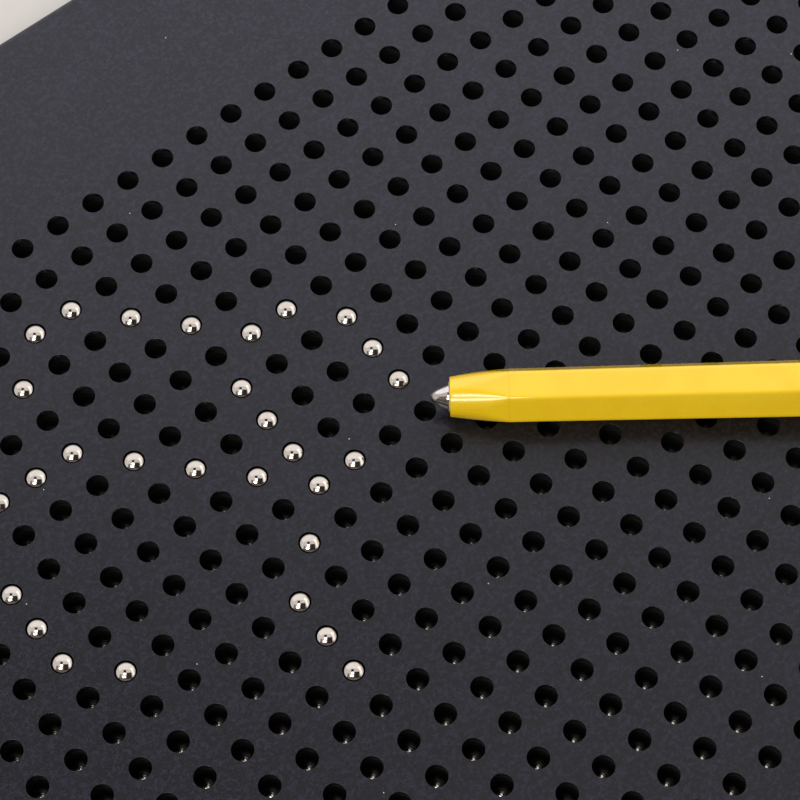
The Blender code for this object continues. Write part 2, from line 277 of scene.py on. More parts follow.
def makeCharcoalAbs():
    # charcoal ABS from a spark-eroded tool: an even matt grain that breaks reflections into a soft sheen;
    # the real grain is about 0.05 mm, and it is drawn coarser so that it shows
    look = charcoalLook
    made, tree, place = newMaterial("charcoalAbsSparkEroded")
    grain = addNode(tree, "ShaderNodeTexNoise", {"Scale": 1 / look["grain"], "Detail": 3.0},
                    {"Vector": place})
    coarse = addNode(tree, "ShaderNodeTexNoise", {"Scale": 1 / (2.6 * look["grain"]), "Detail": 1.0},
                     {"Vector": place})
    mottle = addNode(tree, "ShaderNodeTexNoise", {"Scale": 1 / look["mottle"]}, {"Vector": place})
    both = addNode(tree, "ShaderNodeMath", {"operation": "ADD"}, {0: grain.outputs[0], 1: coarse.outputs[0]})
    bump = addNode(tree, "ShaderNodeBump", {"Strength": 1.0, "Distance": look["grainDepth"]},
                   {"Height": both.outputs[0]})
    share = addNode(tree, "ShaderNodeMapRange", {1: 0.35, 2: 0.65}, {0: mottle.outputs[0]})
    tint = addNode(tree, "ShaderNodeMix",
                   {"data_type": "RGBA", 6: srgb(look["colour"]), 7: srgb(look["lighter"])},
                   {0: share.outputs[0]})
    # lighter specks on the grain's high points: the plate's grain shown in colour, and partly painted sheen
    # of light caught on the grain tops
    peakSheenMask = addNode(tree, "ShaderNodeMapRange", {1: 0.95, 2: 1.25}, {0: both.outputs[0]})
    peakSheenSpeckled = addNode(tree, "ShaderNodeMix", {"data_type": "RGBA", 7: srgb(look["peakSheenSpeckle"])},
                       {0: peakSheenMask.outputs[0], 6: tint.outputs[2]})
    # a few specks of dust, one to a cell
    cells = addNode(tree, "ShaderNodeTexVoronoi",
                    {"voronoi_dimensions": "2D", "Scale": 1 / look["dustSpacing"]}, {"Vector": place})
    size = look["dustSize"] / look["dustSpacing"]
    dust = addNode(tree, "ShaderNodeMapRange", {1: 0.6 * size, 2: size, 3: 1.0, 4: 0.0},
                   {0: cells.outputs["Distance"]})
    dusty = addNode(tree, "ShaderNodeMix", {"data_type": "RGBA", 7: srgb(look["dust"])},
                    {0: dust.outputs[0], 6: peakSheenSpeckled.outputs[2]})
    rough = addNode(tree, "ShaderNodeMapRange",
                    {1: 0.3, 2: 0.7, 3: look["roughness"] - look["unevenness"],
                     4: look["roughness"] + look["unevenness"]}, {0: grain.outputs[0]})
    closeMaterial(tree, {"IOR": 1.52},
                  {"Base Color": dusty.outputs[2], "Roughness": rough.outputs[0], "Normal": bump.outputs[0]})
    return made


innerLook = {"colour": "#070708", "lighter": "#0C0C0D", "roughness": 0.62, "marks": 0.6 * mm,
             "depth": 0.02 * mm}


def makeInnerAbs():
    # plain black ABS inside the case, with tool marks that are only just there
    look = innerLook
    made, tree, place = newMaterial("innerAbsBlack")
    marks = addNode(tree, "ShaderNodeTexNoise", {"Scale": 1 / look["marks"], "Detail": 2.0},
                    {"Vector": place})
    bump = addNode(tree, "ShaderNodeBump", {"Strength": 0.4, "Distance": look["depth"]},
                   {"Height": marks.outputs[0]})
    tint = addNode(tree, "ShaderNodeMix",
                   {"data_type": "RGBA", 6: srgb(look["colour"]), 7: srgb(look["lighter"])},
                   {0: marks.outputs[0]})
    closeMaterial(tree, {"Roughness": look["roughness"], "IOR": 1.53},
                  {"Base Color": tint.outputs[2], "Normal": bump.outputs[0]})
    return made


rubberLook = {
    "retainingRubber": {"colour": "#0A0A0B", "lighter": "#101011", "grain": 0.4 * mm},
    "footRubber": {"colour": "#17171A", "lighter": "#26262A", "grain": 0.25 * mm},
}


def makeRubber(name):
    # black moulded rubber: dull, with a fine open texture and a little bloom on the high spots
    look = rubberLook[name]
    made, tree, place = newMaterial(name)
    pores = addNode(tree, "ShaderNodeTexNoise", {"Scale": 1 / look["grain"], "Detail": 4.0},
                    {"Vector": place})
    bump = addNode(tree, "ShaderNodeBump", {"Strength": 0.7, "Distance": 0.03 * mm},
                   {"Height": pores.outputs[0]})
    bloom = addNode(tree, "ShaderNodeMapRange", {1: 0.4, 2: 0.75}, {0: pores.outputs[0]})
    tint = addNode(tree, "ShaderNodeMix",
                   {"data_type": "RGBA", 6: srgb(look["colour"]), 7: srgb(look["lighter"])},
                   {0: bloom.outputs[0]})
    closeMaterial(tree, {"Roughness": 0.82, "IOR": 1.52},
                  {"Base Color": tint.outputs[2], "Normal": bump.outputs[0]})
    return made


steelLook = {
    "polishedBallSteel": {"bright": "#FDF6EE", "dull": "#F2E8DF", "roughness": 0.05, "smudge": 1.5 * mm},
    "turnedTipSteel": {"bright": "#E4DCD8", "dull": "#D0C7C2", "roughness": 0.07, "smudge": 0.8 * mm},
    "zincPlatedSteel": {"bright": "#B9BCC0", "dull": "#9A9DA3", "roughness": 0.30, "smudge": 1.2 * mm},
    "nickelPlatedMagnet": {"bright": "#B5AFA6", "dull": "#A39C92", "roughness": 0.22, "smudge": 2.0 * mm},
}


def makeSteel(name):
    # ground, turned or plated steel: a clear reflection, softened in patches by finger marks
    look = steelLook[name]
    made, tree, place = newMaterial(name)
    marks = addNode(tree, "ShaderNodeTexNoise", {"Scale": 1 / look["smudge"], "Detail": 3.0},
                    {"Vector": place})
    fine = addNode(tree, "ShaderNodeTexNoise", {"Scale": 1 / (0.12 * mm), "Detail": 2.0}, {"Vector": place})
    bump = addNode(tree, "ShaderNodeBump", {"Strength": 0.25, "Distance": 0.002 * mm},
                   {"Height": fine.outputs[0]})
    dulled = addNode(tree, "ShaderNodeMapRange", {1: 0.4, 2: 0.8}, {0: marks.outputs[0]})
    tint = addNode(tree, "ShaderNodeMix",
                   {"data_type": "RGBA", 6: srgb(look["bright"]), 7: srgb(look["dull"])},
                   {0: dulled.outputs[0]})
    rough = addNode(tree, "ShaderNodeMapRange",
                    {1: 0.35, 2: 0.7, 3: look["roughness"], 4: 2.2 * look["roughness"]},
                    {0: marks.outputs[0]})
    closeMaterial(tree, {"Metallic": 1.0},
                  {"Base Color": tint.outputs[2], "Roughness": rough.outputs[0], "Normal": bump.outputs[0]})
    return made


yellowLook = {
    "colour": "#F8CC0C", "lighter": "#FAD214", "smoothest": 0.20, "roughest": 0.28, "coatRoughness": 0.12,
    "flow": 5 * mm, "fine": 0.5 * mm, "depth": 0.004 * mm,
}


def makeYellowAbs():
    # glossy yellow ABS: strong body colour under a clear moulded gloss, with faint flow waves
    look = yellowLook
    made, tree, place = newMaterial("yellowAbsGloss")
    flow = addNode(tree, "ShaderNodeTexNoise", {"Scale": 1 / look["flow"], "Detail": 1.0}, {"Vector": place})
    fine = addNode(tree, "ShaderNodeTexNoise", {"Scale": 1 / look["fine"], "Detail": 2.0}, {"Vector": place})
    both = addNode(tree, "ShaderNodeMath", {"operation": "MULTIPLY_ADD", 1: 12.0},
                   {0: flow.outputs[0], 2: fine.outputs[0]})
    bump = addNode(tree, "ShaderNodeBump", {"Strength": 0.35, "Distance": look["depth"]},
                   {"Height": both.outputs[0]})
    share = addNode(tree, "ShaderNodeMapRange", {1: 0.35, 2: 0.65}, {0: flow.outputs[0]})
    tint = addNode(tree, "ShaderNodeMix",
                   {"data_type": "RGBA", 6: srgb(look["colour"]), 7: srgb(look["lighter"])},
                   {0: share.outputs[0]})
    rough = addNode(tree, "ShaderNodeMapRange", {1: 0.3, 2: 0.7, 3: look["smoothest"], 4: look["roughest"]},
                    {0: fine.outputs[0]})
    closeMaterial(tree, {"IOR": 1.53, "Coat Weight": 1.0, "Coat Roughness": look["coatRoughness"]},
                  {"Base Color": tint.outputs[2], "Roughness": rough.outputs[0], "Normal": bump.outputs[0]})
    return made


resinLook = {"colour": "#E9DE9A", "lighter": "#F2EBC0", "roughness": 0.18, "clearness": 0.35,
             "bubbles": 0.35 * mm}


def makeCollarResin():
    # pale clear resin round the foot of the tip: it glows where it is thin and shows tiny bubbles
    look = resinLook
    made, tree, place = newMaterial("collarResinClear")
    bubbles = addNode(tree, "ShaderNodeTexNoise", {"Scale": 1 / look["bubbles"], "Detail": 2.0},
                      {"Vector": place})
    bump = addNode(tree, "ShaderNodeBump", {"Strength": 0.5, "Distance": 0.01 * mm},
                   {"Height": bubbles.outputs[0]})
    tint = addNode(tree, "ShaderNodeMix",
                   {"data_type": "RGBA", 6: srgb(look["colour"]), 7: srgb(look["lighter"])},
                   {0: bubbles.outputs[0]})
    closeMaterial(tree, {"Roughness": look["roughness"], "IOR": 1.5,
                         "Transmission Weight": look["clearness"]},
                  {"Base Color": tint.outputs[2], "Normal": bump.outputs[0]})
    return made


charcoalAbs = makeCharcoalAbs()
innerAbs = makeInnerAbs()
sheetRubber = makeRubber("retainingRubber")
footRubber = makeRubber("footRubber")
polishedSteel = makeSteel("polishedBallSteel")
tipSteel = makeSteel("turnedTipSteel")
zincSteel = makeSteel("zincPlatedSteel")
nickel = makeSteel("nickelPlatedMagnet")
yellowAbs = makeYellowAbs()
collarResin = makeCollarResin()
print("materials made")


coverShape = {
    "corner": 14 * mm, "edgeRadius": 1.2 * mm, "faceThickness": 2.6 * mm, "wall": 2.2 * mm,
    "skirtHeight": 8.3 * mm, "mouthRadius": 2.06 * mm, "rimRadius": 0.05 * mm, "seatDrop": 0.75 * mm,
    "holeSides": 24,
    "grooveY": -102 * mm, "grooveLength": 122.5 * mm, "grooveWidth": 13.6 * mm, "grooveDepth": 6.5 * mm,
    "scoopLength": 28 * mm, "scoopWidth": 26 * mm, "grooveCorner": 3.0 * mm, "grooveWall": 1.6 * mm,
    "lipRadius": 0.5 * mm, "floorRadius": 1.2 * mm, "postRadius": 3.2 * mm, "postLength": 6.5 * mm,
    "pilotRadius": 1.4 * mm, "pilotDepth": 5.2 * mm,
}


def grooveSheet(bm, grow, height):
    # outline of the stylus groove with its finger scoop, grown outwards by grow
    shape = coverShape
    x, y = shape["grooveLength"] / 2 + grow, shape["grooveWidth"] / 2 + grow
    scoopX, scoopY = shape["scoopLength"] / 2 + grow, shape["scoopWidth"] / 2 + grow
    corners = [(-x, -y), (-scoopX, -y), (-scoopX, -scoopY), (scoopX, -scoopY), (scoopX, -y), (x, -y),
               (x, y), (scoopX, y), (scoopX, scoopY), (-scoopX, scoopY), (-scoopX, y), (-x, y)]
    before = set(bm.faces)
    verts = [bm.verts.new((cx, shape["grooveY"] + cy, height)) for cx, cy in corners]
    bm.faces.new(verts)
    bmesh.ops.bevel(bm, geom=verts, offset=shape["grooveCorner"], segments=8, profile=0.5,
                    affect="VERTICES", material=-1)
    return [face for face in bm.faces if face not in before][0]


def buildFrontCover():
    shape = coverShape
    ceiling = faceTop - shape["faceThickness"]
    rim, mouth = shape["rimRadius"], shape["mouthRadius"]
    bore = mouth + shape["seatDrop"]
    profile = [(mouth + rim, faceTop), (mouth + 0.3 * rim, faceTop - 0.3 * rim), (mouth, faceTop - rim),
               (bore, faceTop - rim - shape["seatDrop"]), (bore, ceiling)]
    bm = perforatedField(profile, shape["holeSides"], grid)
    skirtFoot = faceTop - shape["skirtHeight"]
    foot = roundedSheet(bm, boardSize.x, boardSize.y, shape["corner"], (0, 0), skirtFoot)
    roof = liftFace(bm, foot, shape["skirtHeight"] - shape["edgeRadius"])
    rollRim(bm, roof, shape["edgeRadius"], shape["edgeRadius"])
    insetFace(bm, foot, shape["wall"])
    inside = liftFace(bm, foot, ceiling - skirtFoot)
    # the groove: a rolled lip, a wall with a little draft and a rolled floor
    groove = grooveSheet(bm, shape["lipRadius"], faceTop)
    rollRim(bm, groove, shape["lipRadius"], -shape["lipRadius"], startsUpright=False)
    insetFace(bm, groove, 0.15 * mm, shape["lipRadius"] + shape["floorRadius"] - shape["grooveDepth"])
    rollRim(bm, groove, shape["floorRadius"], -shape["floorRadius"])
    # its outside, under the face
    pocket = grooveSheet(bm, shape["grooveWall"], ceiling)
    liftFace(bm, pocket, faceTop - shape["grooveDepth"] - shape["grooveWall"] - ceiling)
    opened = [roof, inside, pocket]
    for node in screwNodes:
        post = disc(bm, middle(node), shape["postRadius"], ceiling)
        end = liftFace(bm, post, -shape["postLength"])
        insetFace(bm, end, shape["postRadius"] - shape["pilotRadius"])
        liftFace(bm, end, shape["pilotDepth"])
        opened.append(post)
    openFaces(bm, opened)
    fillLevel(bm, faceTop)
    fillLevel(bm, ceiling)
    finishPiece("front_cover_perforated", bm, charcoalAbs, boardBody, ["front_cover"], 40,
                (faceTop,))


backShape = {
    "corner": 14 * mm, "edgeRadius": 1.1 * mm, "wallTop": 4.9 * mm, "lipInset": 2.5 * mm,
    "lipThickness": 1.5 * mm, "lipTop": 6.7 * mm, "floor": 1.6 * mm,
    "panelMargin": 24 * mm, "panelCorner": 9 * mm, "panelDepth": 0.45 * mm,
    "headRadius": 3.0 * mm, "headDepth": 1.7 * mm, "shankRadius": 1.45 * mm, "bossRadius": 4.2 * mm,
    "bossTop": 4.1 * mm, "footRadius": 6.15 * mm, "footDepth": 0.35 * mm,
}


def buildBackCover():
    shape = backShape
    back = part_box("back_cover")[0].z
    floorTop = back + shape["floor"]
    bm = bmesh.new()
    rim = roundedSheet(bm, boardSize.x, boardSize.y, shape["corner"], (0, 0), shape["wallTop"])
    under = liftFace(bm, rim, back + shape["edgeRadius"] - shape["wallTop"])
    rollRim(bm, under, shape["edgeRadius"], -shape["edgeRadius"])
    insetFace(bm, rim, shape["lipInset"])
    lip = liftFace(bm, rim, shape["lipTop"] - shape["wallTop"])
    insetFace(bm, lip, shape["lipThickness"])
    inside = liftFace(bm, lip, floorTop - shape["lipTop"])
    opened = [under, inside]
    # a shallow panel over the middle of the back
    panel = roundedSheet(bm, boardSize.x - 2 * shape["panelMargin"], boardSize.y - 2 * shape["panelMargin"],
                         shape["panelCorner"], (0, 0), back)
    rollRim(bm, panel, 0.5 * shape["panelDepth"], 0.5 * shape["panelDepth"], 3, startsUpright=False)
    rollRim(bm, panel, 0.5 * shape["panelDepth"], 0.5 * shape["panelDepth"], 3)
    for node in screwNodes:
        place = middle(node)
        well = disc(bm, place, shape["headRadius"], back)
        seat = liftFace(bm, well, shape["headDepth"])
        insetFace(bm, seat, shape["headRadius"] - shape["shankRadius"])
        through = liftFace(bm, seat, shape["bossTop"] - back - shape["headDepth"])
        boss = disc(bm, place, shape["bossRadius"], floorTop)
        bossEnd = liftFace(bm, boss, shape["bossTop"] - floorTop)
        insetFace(bm, bossEnd, shape["bossRadius"] - shape["shankRadius"])
        opened += [well, through, boss, bossEnd]
    for node in footNodes:
        well = disc(bm, middle(node), shape["footRadius"], back)
        liftFace(bm, well, shape["footDepth"])
        opened.append(well)
    openFaces(bm, opened)
    fillLevel(bm, back)
    fillLevel(bm, floorTop)
    bmesh.ops.remove_doubles(bm, verts=bm.verts, dist=0.02 * mm)
    finishPiece("back_cover_shell", bm, charcoalAbs, boardBody, ["back_cover"], 40, (back,))


plateShape = {"corner": 4 * mm, "sheetHole": 2.85 * mm, "guideHole": 2.8 * mm, "holeSides": 12}


def buildPerforatedPlate(node, surface, radius):
    # an inner plate at its full count of holes
    low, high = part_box(node)
    bm = perforatedField([(radius, high.z), (radius, low.z)], plateShape["holeSides"], grid)
    centre = ((low.x + high.x) / 2, (low.y + high.y) / 2)
    foot = roundedSheet(bm, high.x - low.x, high.y - low.y, plateShape["corner"], centre, low.z, 4)
    roof = liftFace(bm, foot, high.z - low.z)
    openFaces(bm, [foot, roof])
    fillLevel(bm, low.z)
    fillLevel(bm, high.z)
    finishPiece(node + "_perforated", bm, surface, boardBody, [node], 40, (low.z, high.z))


buildFrontCover()
buildBackCover()
buildPerforatedPlate("retaining_sheet", sheetRubber, plateShape["sheetHole"])
buildPerforatedPlate("ball_guide", innerAbs, plateShape["guideHole"])
print("case built")


ballShape = {"radius": 0.97 * ballRadius, "shown": (36, 20), "hidden": (10, 6)}


def addBall(bm, place, facets):
    bmesh.ops.create_uvsphere(bm, u_segments=facets[0], v_segments=facets[1], radius=ballShape["radius"],
                              matrix=Matrix.Translation(place))


def buildBalls():
    for node in raisedBalls + downBalls:
        bm = bmesh.new()
        addBall(bm, middle(node), ballShape["shown"])
        finishPiece("steel_" + node, bm, polishedSteel, node, [node], 180)
    # all the other balls lie at the foot of their bores
    bm = bmesh.new()
    addBall(bm, Vector((0, 0, middle(downBalls[0]).z)), ballShape["hidden"])
    repeatOverGrid(bm, grid)
    single = {gridPlace(node) for node in ballNodes}
    spare = [v for v in bm.verts if nearestPlace(v.co) in single]
    bmesh.ops.delete(bm, geom=spare, context="VERTS")
    finishPiece("steel_balls_down", bm, polishedSteel, boardBody, (), 180)


buildBalls()
print("balls placed")


def ringShell(profile, sides, closed=False):
    # a shell along +X through sections (s, flat, corner): a hexagon of that half width across its flats
    # with corners of that radius, which is round where the two are equal
    bm = bmesh.new()
    circle = bmesh.ops.create_circle(bm, segments=sides, radius=1.0)
    turns = {v: math.atan2(v.co.y, v.co.x) for v in circle["verts"]}
    edges = list({e for v in circle["verts"] for e in v.link_edges})

    def placeRing(verts, section):
        s, flat, corner = section
        reach = (flat - corner) / math.cos(math.radians(30))
        halfFlat = (flat - corner) * math.tan(math.radians(30))
        for v in verts:
            fromFlat = (math.degrees(turns[v]) % 60) - 30
            if abs(math.tan(math.radians(fromFlat))) * flat <= halfFlat:
                radius = flat / math.cos(math.radians(fromFlat))
            else:
                fromCorner = math.radians(30 - abs(fromFlat))
                across = corner ** 2 - (reach * math.sin(fromCorner)) ** 2
                radius = reach * math.cos(fromCorner) + math.sqrt(max(across, 0.0))
            v.co = (s, radius * math.cos(turns[v]), radius * math.sin(turns[v]))

    placeRing(circle["verts"], profile[0])
    firstEdges = edges
    for section in profile[1:] + (profile[:1] if closed else []):
        oldTurns = {tuple(v.co): turns[v] for e in edges for v in e.verts}
        made = bmesh.ops.extrude_edge_only(bm, edges=edges)["geom"]
        verts = [g for g in made if isinstance(g, bmesh.types.BMVert)]
        turns.update({v: oldTurns[tuple(v.co)] for v in verts})
        fresh = set(verts)
        edges = [g for g in made if isinstance(g, bmesh.types.BMEdge) and fresh.issuperset(g.verts)]
        placeRing(verts, section)
    if closed:
        bmesh.ops.remove_doubles(bm, verts=bm.verts, dist=1e-8)
    else:
        for rim in (firstEdges, edges):
            bmesh.ops.edgeloop_fill(bm, edges=rim)
    return bm


def roundProfile(points):
    return [(s, radius, radius) for s, radius in points]


screwShape = {
    "head": 2.7 * mm, "headHeight": 1.15 * mm, "shank": 1.15 * mm, "thread": 0.25 * mm, "turns": 9,
    "neck": 0.3 * mm, "tail": 0.9 * mm, "point": 0.8 * mm, "pointRadius": 0.25 * mm,
    "recess": 0.75 * mm, "recessWidth": 0.55 * mm, "recessReach": 1.35 * mm, "headMiddle": 0.3 * mm,
    "headCurve": ((0.0, 0.72), (0.12, 0.86), (0.35, 0.96), (0.65, 1.0)),  # height in mm, share of the head
}


def buildScrew(node):
    # pan head up to the counterbore, a ridged shank and a cross recess
    shape = screwShape
    low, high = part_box(node)
    head, headTop, core = shape["head"], shape["headHeight"], shape["shank"] - shape["thread"]
    length = high.z - low.z
    points = [(0, shape["headMiddle"])] + [(rise * mm, share * head) for rise, share in shape["headCurve"]]
    points += [(headTop, head), (headTop, shape["shank"])]
    ridge = (length - headTop - shape["neck"] - shape["tail"]) / shape["turns"]
    for k in range(shape["turns"]):
        start = headTop + shape["neck"] + k * ridge
        points += [(start, core), (start + 0.5 * ridge, shape["shank"])]
    points += [(length - shape["point"], core), (length, shape["pointRadius"])]
    bm = ringShell(roundProfile(points), 24)
    foot = Matrix.Translation((middle(node).x, middle(node).y, low.z))
    bmesh.ops.transform(bm, matrix=foot @ Matrix.Rotation(-math.pi / 2, 4, "Y"), verts=bm.verts)
    piece = finishPiece(node + "_cross_head", bm, zincSteel, boardBody, [node], 35)
    cutter = bmesh.new()
    for turn in (0, math.pi / 2):
        size = Matrix.Diagonal((2 * shape["recessReach"], shape["recessWidth"], 2 * shape["recess"], 1))
        bmesh.ops.create_cube(cutter, size=1.0, matrix=foot @ Matrix.Rotation(turn, 4, "Z") @ size)
    cutMesh = bpy.data.meshes.new("recess")
    cutter.to_mesh(cutMesh)
    cutter.free()
    cutObject = bpy.data.objects.new("recess", cutMesh)
    bpy.context.scene.collection.objects.link(cutObject)
    cut = piece.modifiers.new("recess", "BOOLEAN")
    cut.object = cutObject
    cut.use_self = True
    applyModifiers(piece)
    bpy.data.objects.remove(cutObject)


def applyModifiers(piece):
    graph = bpy.context.evaluated_depsgraph_get()
    mesh = bpy.data.meshes.new_from_object(piece.evaluated_get(graph))
    piece.modifiers.clear()
    piece.data = mesh


footShape = {"edge": 0.45 * mm, "edgeSteps": 5, "sunk": 0.4 * mm, "sides": 48}


def buildFoot(node):
    # a rubber disc pressed into its well, its lower rim rolled
    low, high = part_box(node)
    radius, edge = (high.x - low.x) / 2, footShape["edge"]
    points = [(low.z, 0.5 * mm), (low.z, radius - edge)]
    for k in range(1, footShape["edgeSteps"] + 1):
        a = math.pi / 2 * k / footShape["edgeSteps"]
        points.append((low.z + edge * (1 - math.cos(a)), radius - edge + edge * math.sin(a)))
    points.append((high.z + footShape["sunk"], radius))
    bm = ringShell(roundProfile(points), footShape["sides"])
    stand = Matrix.Translation((middle(node).x, middle(node).y, 0)) @ Matrix.Rotation(-math.pi / 2, 4, "Y")
    bmesh.ops.transform(bm, matrix=stand, verts=bm.verts)
    finishPiece(node + "_disc", bm, footRubber, boardBody, [node], 40)


for screwNode in screwNodes:
    buildScrew(screwNode)
for footNode in footNodes:
    buildFoot(footNode)
print("screws and feet built")


stylusShape = {
    "collarAt": 3.65 * mm, "front": 3.1 * mm, "seam": 13.7 * mm, "taperEnd": 75 * mm, "barrelEnd": 114 * mm,
    "length": 118 * mm, "frontFlat": 3.66 * mm, "seamFlat": 4.63 * mm, "wideFlat": 4.955 * mm,
    "corner": 0.8 * mm,
    "tipRadius": 2.30 * mm, "tipReach": 2.75 * mm, "tipProud": 0.35 * mm, "tipHead": 2.8 * mm,
    "bore": 3.75 * mm, "spigot": 3.6 * mm, "spigotEnd": 26 * mm, "magnetBore": 3.1 * mm,
    "magnetStart": 6.2 * mm,
    "neckBore": 2.6 * mm, "neckStart": 4.8 * mm, "mouthBore": 2.95 * mm, "plugStart": 106 * mm,
    "plugDome": 2.3 * mm, "plugCorner": 0.35, "tipShank": 6.4 * mm, "tipHeadEnd": 8.2 * mm,
    "noseSwell": 1.8, "noseRounding": 2.2, "noseEdge": 0.15 * mm, "edge": 0.1 * mm, "endEdge": 0.08 * mm,
    "collarStart": 2.92 * mm, "collarEnd": 4.6 * mm, "collarInner": 2.42 * mm, "collarOuter": 2.76 * mm,
    "sides": 180,
}


def stylusFrame():
    # the axis runs through the middles of the collar and the magnet; the point of the tip is its origin
    start, end = middle("tip_collar"), middle("bar_magnet")
    along = (end - start).normalized()
    up = (Vector((0, 0, 1)) - along * along.z).normalized()
    side = up.cross(along)
    turn = Matrix((along, side, up)).transposed().to_4x4()
    return Matrix.Translation(start - along * stylusShape["collarAt"]) @ turn


stylusPlace = stylusFrame()


def finishStylusPiece(name, profile, surface, nodes, closed=False, angle=30):
    bm = ringShell(profile, stylusShape["sides"], closed)
    bmesh.ops.transform(bm, matrix=stylusPlace, verts=bm.verts)
    return finishPiece(name, bm, surface, stylusBody, nodes, angle)


def buildStylusNose():
    # round at the front, swelling into the barrel's hexagon at the seam
    shape = stylusShape
    front, seam, edge = shape["front"], shape["seam"], shape["noseEdge"]
    frontFlat, seamFlat = shape["frontFlat"], shape["seamFlat"]
    mouth, neck, magnet = shape["mouthBore"], shape["neckBore"], shape["magnetBore"]
    profile = roundProfile([(front, mouth), (front, frontFlat - edge),
                            (front + 0.3 * edge, frontFlat - 0.3 * edge)])
    steps = 28
    for k in range(steps + 1):
        t = k / steps
        s = front + edge + (seam - shape["edge"] - front - edge) * t
        flat = seamFlat - (seamFlat - frontFlat) * (1 - t) ** shape["noseSwell"]
        ease = t ** shape["noseRounding"]
        profile.append((s, flat, flat + (shape["corner"] - flat) * ease))
    profile.append((seam, seamFlat - 0.02 * mm, shape["corner"]))
    # the spigot, then back through the bores for the magnet, the tip's shank and the collar
    profile += roundProfile([(seam, shape["spigot"]), (shape["spigotEnd"], shape["spigot"]),
                             (shape["spigotEnd"], magnet), (shape["magnetStart"], magnet),
                             (shape["magnetStart"], neck), (shape["neckStart"], neck),
                             (shape["neckStart"], mouth)])
    finishStylusPiece("stylus_nose_sleeve", profile, yellowAbs, ["stylus_nose"], closed=True)


def buildStylusTip():
    # a blunt steel cone on a short shank
    shape = stylusShape
    steps = 22
    points = []
    for k in range(1, steps + 1):
        t = k / steps
        s = (shape["tipReach"] + shape["tipProud"]) * t * t - shape["tipProud"]
        points.append((s, shape["tipRadius"] * t ** 0.95))
    points += [(shape["tipShank"], shape["tipRadius"]), (shape["tipShank"], shape["tipHead"]),
               (shape["tipHeadEnd"], shape["tipHead"])]
    finishStylusPiece("stylus_tip_cone", roundProfile(points), tipSteel, ["stylus_tip"],
                      angle=40)


def buildTipCollar():
    inner, outer = stylusShape["collarInner"], stylusShape["collarOuter"]
    start, end, edge = stylusShape["collarStart"], stylusShape["collarEnd"], stylusShape["edge"]
    points = [(start + edge, inner), (start, inner + 0.5 * edge), (start, outer - edge),
              (start + edge, outer), (end, outer), (end, inner)]
    finishStylusPiece("tip_collar_ring", roundProfile(points), collarResin, ["tip_collar"],
                      closed=True)


def buildStylusBarrel():
    shape = stylusShape
    seam, end, corner = shape["seam"] + 0.01 * mm, shape["barrelEnd"], shape["corner"]
    profile = [(seam, shape["seamFlat"] - 0.03 * mm, corner),
               (seam + 0.04 * mm, shape["seamFlat"] + 0.01 * mm, corner),
               (seam + shape["edge"], shape["seamFlat"] + 0.02 * mm, corner)]
    steps = 12
    for k in range(1, steps + 1):
        t = k / steps
        s = seam + shape["edge"] + (shape["taperEnd"] - seam) * t
        profile.append((s, shape["seamFlat"] + (shape["wideFlat"] - shape["seamFlat"]) * t, corner))
    profile += [(end - shape["edge"], shape["wideFlat"], corner),
                (end, shape["wideFlat"] - shape["endEdge"], corner)]
    profile += roundProfile([(end, shape["bore"]), (seam, shape["bore"])])
    finishStylusPiece("stylus_barrel_hexagon", profile, yellowAbs, ["stylus_barrel"],
                      closed=True)


def buildEndPlug():
    # a plug with a rounded hexagonal end
    shape = stylusShape
    start, dome, inside = shape["barrelEnd"] + 0.05 * mm, shape["plugDome"], shape["plugStart"]
    profile = roundProfile([(inside, shape["spigot"] - 0.3 * mm), (inside + 0.4 * mm, shape["spigot"]),
                            (start, shape["spigot"])])
    profile += [(start, shape["wideFlat"] - shape["endEdge"], shape["corner"]),
                (start + shape["edge"], shape["wideFlat"], shape["corner"])]
    steps = 12
    for k in range(steps + 1):
        a = math.pi / 2 * k / steps
        flat = shape["wideFlat"] - dome * (1 - math.cos(a))
        corner = shape["corner"] + (shape["plugCorner"] * flat - shape["corner"]) * k / steps
        profile.append((shape["length"] - dome + dome * math.sin(a), flat, corner))
    finishStylusPiece("stylus_end_plug_dome", profile, yellowAbs, ["stylus_end_plug"])


buildStylusNose()
buildStylusTip()
buildTipCollar()
buildStylusBarrel()
buildEndPlug()
print("stylus built")


def dressNode(node, surface):
    mesh = frame["nodes"][node].data
    mesh.materials.clear()
    mesh.materials.append(surface)


# the bar magnet keeps its CAD shape, and only gets its plating
dressNode("bar_magnet", nickel)


stageLook = {
    "floorSize": 6.0, "floorGap": 0.05 * mm, "floorColour": "#E9E7E3", "floorLighter": "#EFEDE9",
    "worldColour": "#F6F1EE", "worldStrength": 0.63,
    "cameraAt": (-0.137594, -0.145220, 0.468109), "lookAt": (-0.014337, 0.022511, 0.0), "roll": -0.7635,
    "lens": 126.18,
}

